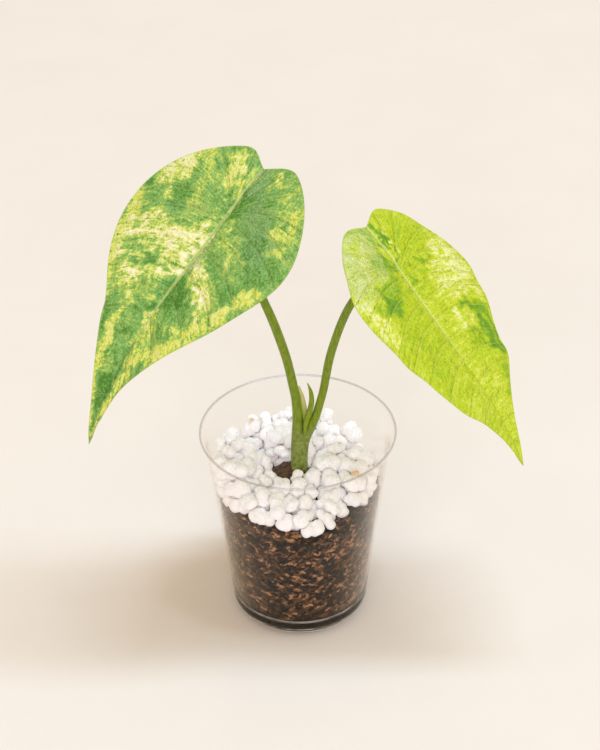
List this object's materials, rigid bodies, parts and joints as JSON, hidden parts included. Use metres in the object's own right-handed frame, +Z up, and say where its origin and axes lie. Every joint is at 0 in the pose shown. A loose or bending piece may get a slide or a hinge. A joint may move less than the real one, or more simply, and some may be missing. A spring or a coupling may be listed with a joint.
{
  "type": "potted variegated alocasia",
  "caption": "Young variegated aroid with heart-shaped drooping leaves on slender stalks, rooted in bark mix topped with perlite in a clear tapered cup.",
  "frame": {"origin": "middle of the cup's flat base, on the surface it stands on", "axes": "+Z up along the cup's axis; -Y towards the front, where both blades lean; +X to the right seen from the front"},
  "size_m": [0.1583, 0.1004, 0.2041],
  "materials": {
    "clear_plastic": "clear, polished",
    "bark_mix": "coarse brown bark and coir chips, damp",
    "perlite_grain": "matte white rounded grains",
    "corm_skin": "brown fibrous skin",
    "petiole_skin": "smooth olive green, faint gloss",
    "young_leaf": "smooth bright green, faint gloss",
    "green_marbled_leaf": "green marbled with cream and lime, soft gloss",
    "lime_marbled_leaf": "lime yellow marbled with cream and green, soft gloss"
  },
  "bodies": {
    "root": {"cup": "clear_plastic", "soil": "bark_mix", "perlite": "perlite_grain", "corm": "corm_skin", "petiole_left": "petiole_skin", "petiole_right": "petiole_skin", "new_leaf": "young_leaf", "blade_left": "green_marbled_leaf", "blade_right": "lime_marbled_leaf"}
  },
  "joints": []
}
